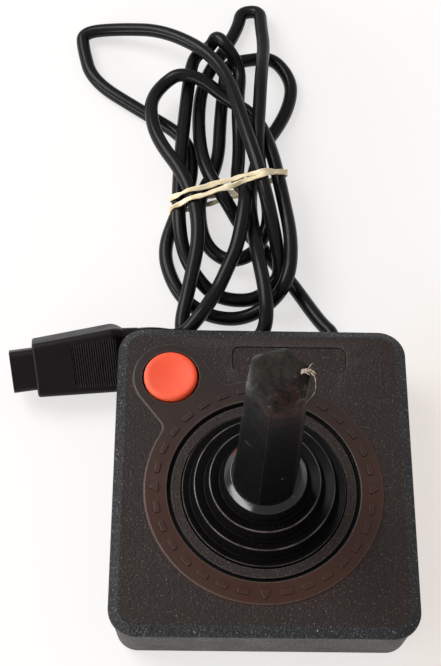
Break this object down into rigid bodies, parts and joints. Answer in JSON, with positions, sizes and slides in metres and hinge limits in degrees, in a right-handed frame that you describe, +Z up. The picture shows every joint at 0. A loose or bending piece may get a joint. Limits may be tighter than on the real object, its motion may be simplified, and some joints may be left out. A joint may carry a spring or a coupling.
{
  "type": "joystick controller",
  "caption": "One-stick joystick controller: square drafted case, six-sided grip on a ribbed rubber boot, round fire button, tied cord and plug.",
  "frame": {"origin": "under the middle of the case, on the surface it stands on", "axes": "+Z up along the stick, +X to the player's right across the case's shorter side, +Y away from the player towards the cord"},
  "size_m": [0.124, 0.2441, 0.098],
  "materials": {
    "case_plastic": "moulded, finely speckled grain",
    "plate_plastic": "smooth, satin",
    "boot_rubber": "smooth moulded rubber with a soft gloss",
    "grip_rubber": "worn moulded rubber",
    "button_plastic": "smooth, slightly glossy",
    "cord_jacket": "semi-gloss cable jacket",
    "plug_plastic": "moulded with fine ribs",
    "band_rubber": "pale cream rubber",
    "shaft_plastic": "plain moulded",
    "board_laminate": "brown laminate",
    "film_plastic": "thin milky film",
    "dome_steel": "bright spring steel",
    "screw_steel": "zinc plated",
    "header_plastic": "plain moulded",
    "wire_brown": "plain insulation",
    "wire_white": "plain insulation",
    "wire_green": "plain insulation",
    "wire_blue": "plain insulation",
    "wire_orange": "plain insulation"
  },
  "bodies": {
    "case": {"top_shell": "case_plastic", "bottom_shell": "case_plastic", "top_plate": "plate_plastic", "boot_clamp_ring": "shaft_plastic", "boot_outer_fold": "boot_rubber", "circuit_board": "board_laminate", "dome_film": "film_plastic", "dome_up": "dome_steel", "dome_down": "dome_steel", "dome_left": "dome_steel", "dome_right": "dome_steel", "dome_fire": "dome_steel", "button_spring": "dome_steel", "case_screw_1": "screw_steel", "case_screw_2": "screw_steel", "case_screw_3": "screw_steel", "case_screw_4": "screw_steel", "cord_strain_relief": "cord_jacket", "inner_cord": "cord_jacket", "wire_1": "wire_brown", "wire_2": "wire_white", "wire_3": "wire_green", "wire_4": "wire_blue", "wire_5": "wire_orange", "wire_header": "header_plastic", "cord_lead": "cord_jacket", "cord_hank": "cord_jacket", "cord_tail": "cord_jacket", "rubber_band": "band_rubber", "plug_body": "plug_plastic", "plug_nose": "plug_plastic", "plug_contacts": "plug_plastic", "plug_relief": "plug_plastic"},
    "pivot": {"pivot_ball": "shaft_plastic", "boot_inner_fold": "boot_rubber"},
    "stick": {"stick_shaft": "shaft_plastic", "actuator_plate": "shaft_plastic", "boot_collar": "boot_rubber", "grip_sleeve": "grip_rubber"},
    "button": {"fire_button": "button_plastic"}
  },
  "joints": [
    {"name": "stick_tilt_fore_aft", "type": "hinge", "parent": "case", "child": "pivot", "pos_m": [0, -0.0047, 0.013], "axis": [1, 0, 0], "range_deg": [-9, 9], "stiffness_Nm_per_rad": 1.5, "deforming": ["boot_outer_fold", "dome_up", "dome_down"]},
    {"name": "stick_tilt_side", "type": "hinge", "parent": "pivot", "child": "stick", "pos_m": [0, -0.0047, 0.013], "axis": [0, 1, 0], "range_deg": [-9, 9], "stiffness_Nm_per_rad": 1.5, "deforming": ["boot_inner_fold", "dome_left", "dome_right"]},
    {"name": "fire_button_press", "type": "slide", "parent": "case", "child": "button", "axis": [0, 0, -1], "range_m": [0, 0.0015], "stiffness_N_per_m": 600, "springref_m": -0.001, "deforming": ["button_spring", "dome_fire"]}
  ]
}
